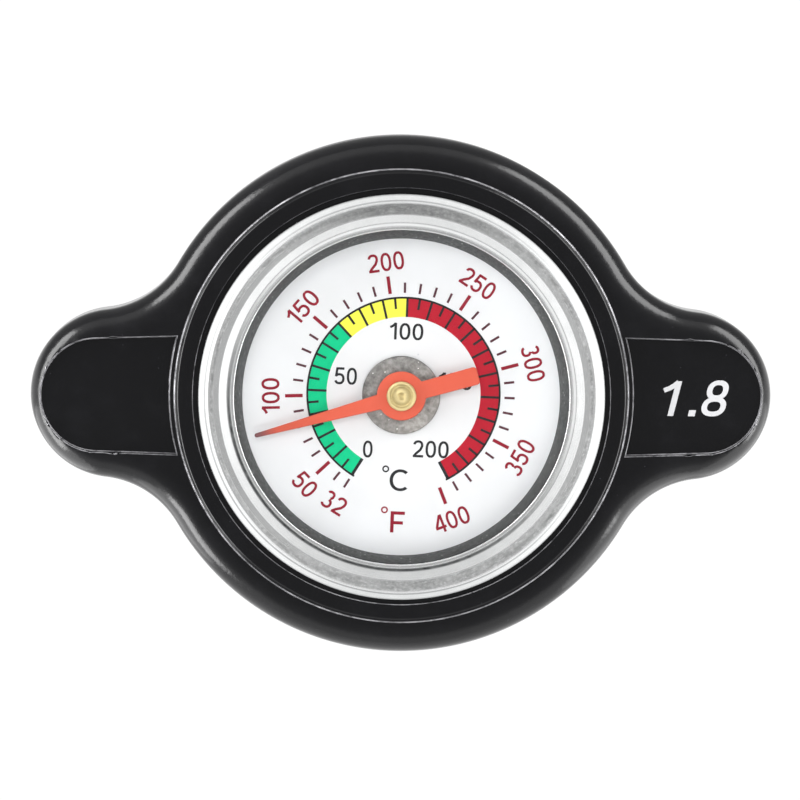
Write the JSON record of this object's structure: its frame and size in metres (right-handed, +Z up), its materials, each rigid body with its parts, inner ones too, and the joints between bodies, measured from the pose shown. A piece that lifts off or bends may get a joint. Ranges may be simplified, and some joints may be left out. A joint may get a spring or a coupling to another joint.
{
  "type": "radiator cap thermometer",
  "caption": "Winged radiator pressure cap with a bayonet shell, a sprung pressure and vacuum valve below, and a dial thermometer under a chrome bezel on top.",
  "frame": {"origin": "on the cap's axis, in the plane where the upper gasket meets the rim of the filler neck", "axes": "+Z up out of the dial, +X along the wings, -Z down the probe into the neck"},
  "size_m": [0.0636, 0.0444, 0.0403],
  "materials": {
    "black_cover": "satin black coat on die-cast aluminium",
    "steel_sheet": "plain pressed sheet",
    "case_metal": "satin",
    "rubber": "matte",
    "bezel_chrome": "polished",
    "lens_glass": "clear",
    "spacer_metal": "satin",
    "dial_white": "matte white with a printed scale",
    "disc_grey": "matte grey",
    "brass": "turned",
    "spring_steel": "bright",
    "probe_metal": "nickel plated",
    "bimetal": "plain",
    "pointer_orange": "matte orange-red",
    "valve_steel": "plain pressed sheet"
  },
  "bodies": {
    "cap": {"handle_cover": "black_cover", "bayonet_shell": "steel_sheet", "gauge_case": "case_metal", "case_gasket": "rubber", "bezel_ring": "bezel_chrome", "lens": "lens_glass", "lens_gasket": "rubber", "spacer_ring": "spacer_metal", "dial_plate": "dial_white", "centre_disc": "disc_grey", "spindle_bush": "brass", "stem": "brass", "stem_washer": "steel_sheet", "stem_nut": "brass", "snap_ring": "spring_steel", "probe_tube": "probe_metal", "coil_anchor": "brass"},
    "pointer_assembly": {"pointer": "pointer_orange", "pointer_hub": "brass", "spindle": "spring_steel", "coil_carrier": "brass", "bimetal_coil": "bimetal"},
    "valve_carrier": {"upper_gasket": "rubber", "diaphragm_spring": "spring_steel", "guide_sleeve": "valve_steel", "pressure_spring": "spring_steel"},
    "pressure_valve": {"valve_plate": "valve_steel", "valve_seal": "rubber", "vacuum_spring": "spring_steel"},
    "vacuum_valve_assembly": {"vacuum_valve": "brass", "vacuum_collar": "brass"}
  },
  "joints": [
    {"name": "pointer_sweep", "type": "hinge", "parent": "cap", "child": "pointer_assembly", "pos_m": [0, 0, 0.0085], "axis": [0, 0, -1], "range_deg": [-43, 257], "stiffness_Nm_per_rad": 0.0001, "deforming": ["bimetal_coil"]},
    {"name": "valve_swivel", "type": "hinge", "parent": "cap", "child": "valve_carrier", "pos_m": [0, 0, 0], "axis": [0, 0, 1], "continuous": true},
    {"name": "pressure_valve_lift", "type": "slide", "parent": "valve_carrier", "child": "pressure_valve", "axis": [0, 0, 1], "range_m": [0, 0.003], "stiffness_N_per_m": 6300, "springref_m": -0.0065, "deforming": ["pressure_spring"]},
    {"name": "vacuum_valve_drop", "type": "slide", "parent": "pressure_valve", "child": "vacuum_valve_assembly", "axis": [0, 0, -1], "range_m": [0, 0.0015], "stiffness_N_per_m": 150, "springref_m": -0.002, "deforming": ["vacuum_spring"]}
  ]
}
